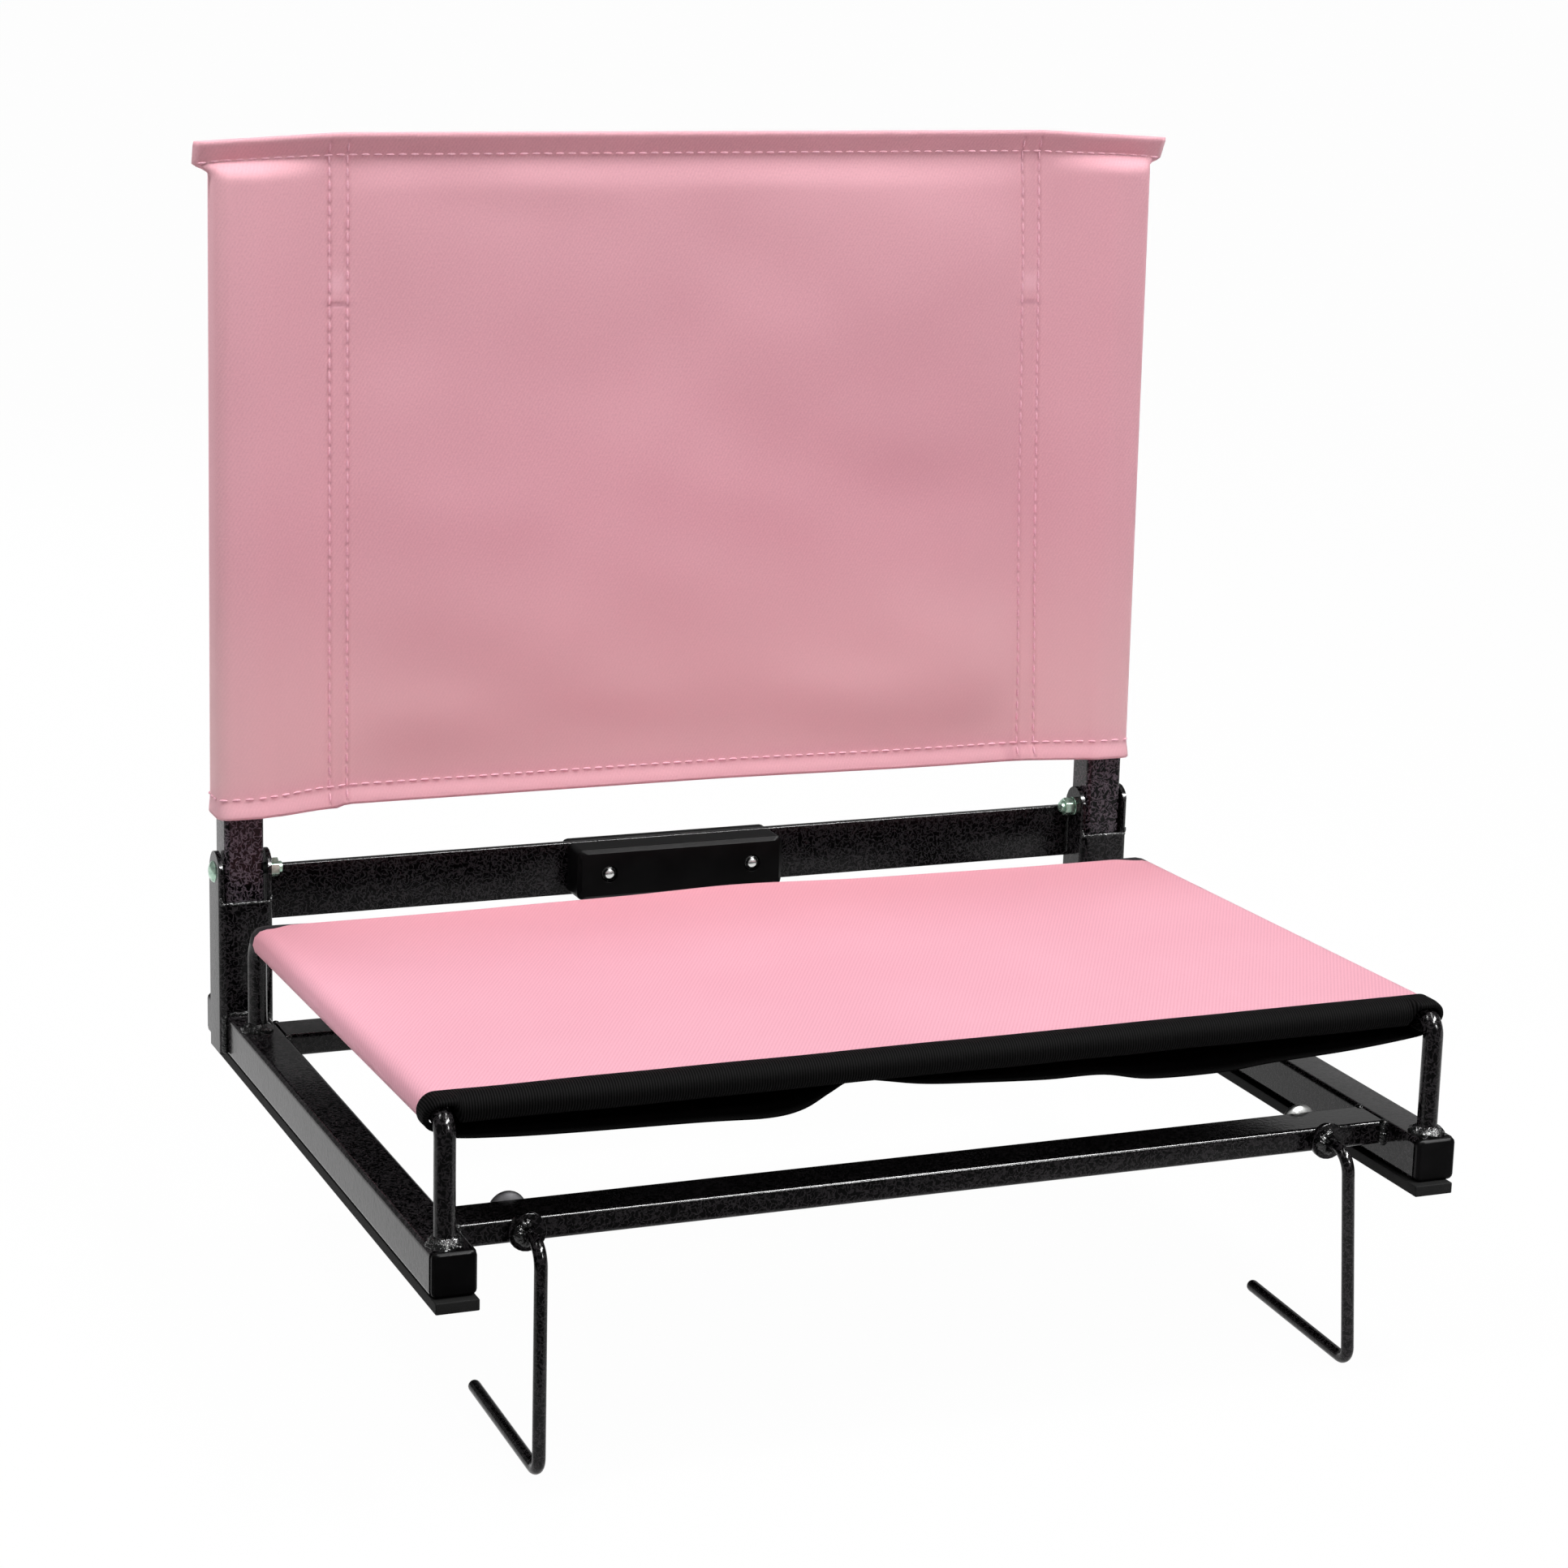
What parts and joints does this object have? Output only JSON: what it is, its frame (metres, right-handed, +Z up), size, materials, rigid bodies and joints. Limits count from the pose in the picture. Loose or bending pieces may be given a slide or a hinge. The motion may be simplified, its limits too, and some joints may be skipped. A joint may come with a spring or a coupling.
{
  "type": "bleacher seat",
  "caption": "Folding bleacher seat: steel tube base with a stretched cloth seat, a cloth back that folds forward over it, a hand grip behind, and swinging hooks that catch under the bench plank.",
  "frame": {"origin": "on the bench top, under the middle of the rails' length and midway between them", "axes": "+X to the right as seen by someone facing the seat, front of the seat towards -Y, +Z up from the bench"},
  "size_m": [0.5154, 0.3916, 0.5478],
  "materials": {
    "powder_coat": "black hammered powder coat",
    "zinc": "zinc plated",
    "black_plastic": "moulded, satin",
    "rubber": "matte",
    "pink_cloth": "woven canvas",
    "black_cloth": "ribbed webbing and canvas"
  },
  "bodies": {
    "base": {"left_rail": "powder_coat", "right_rail": "powder_coat", "left_front_plug": "black_plastic", "right_front_plug": "black_plastic", "left_rear_plug": "black_plastic", "right_rear_plug": "black_plastic", "left_bench_strip": "rubber", "right_bench_strip": "rubber", "front_crossbar": "powder_coat", "rear_crossbar": "powder_coat", "left_hinge_bracket": "powder_coat", "right_hinge_bracket": "powder_coat", "left_pivot_bolt": "zinc", "right_pivot_bolt": "zinc", "left_pivot_washer": "zinc", "right_pivot_washer": "zinc", "left_pivot_nut": "zinc", "right_pivot_nut": "zinc", "carry_bar": "powder_coat", "grip_front": "black_plastic", "grip_rear": "black_plastic", "left_grip_screw": "zinc", "right_grip_screw": "zinc", "left_seat_rod": "powder_coat", "right_seat_rod": "powder_coat", "seat_sling": "pink_cloth", "seat_binding": "black_cloth", "left_seat_flap": "black_cloth", "right_seat_flap": "black_cloth"},
    "back": {"left_back_post": "powder_coat", "right_back_post": "powder_coat", "left_post_cap": "black_plastic", "right_post_cap": "black_plastic", "left_post_plug": "black_plastic", "right_post_plug": "black_plastic", "back_cover": "pink_cloth"},
    "left_hook": {"left_hook_rod": "powder_coat", "left_hook_collar": "powder_coat", "left_hook_cap": "zinc"},
    "right_hook": {"right_hook_rod": "powder_coat", "right_hook_collar": "powder_coat", "right_hook_cap": "zinc"}
  },
  "joints": [
    {"name": "back_fold", "type": "hinge", "parent": "base", "child": "back", "pos_m": [0, 0.171, 0.1005], "axis": [1, 0, 0], "range_deg": [0, 90]},
    {"name": "left_hook_swing", "type": "hinge", "parent": "base", "child": "left_hook", "pos_m": [-0.1965, -0.1625, 0.0199], "axis": [0, -1, 0], "range_deg": [-45, 80]},
    {"name": "right_hook_swing", "type": "hinge", "parent": "base", "child": "right_hook", "pos_m": [0.1965, -0.1625, 0.0199], "axis": [0, 1, 0], "range_deg": [-45, 80]}
  ]
}
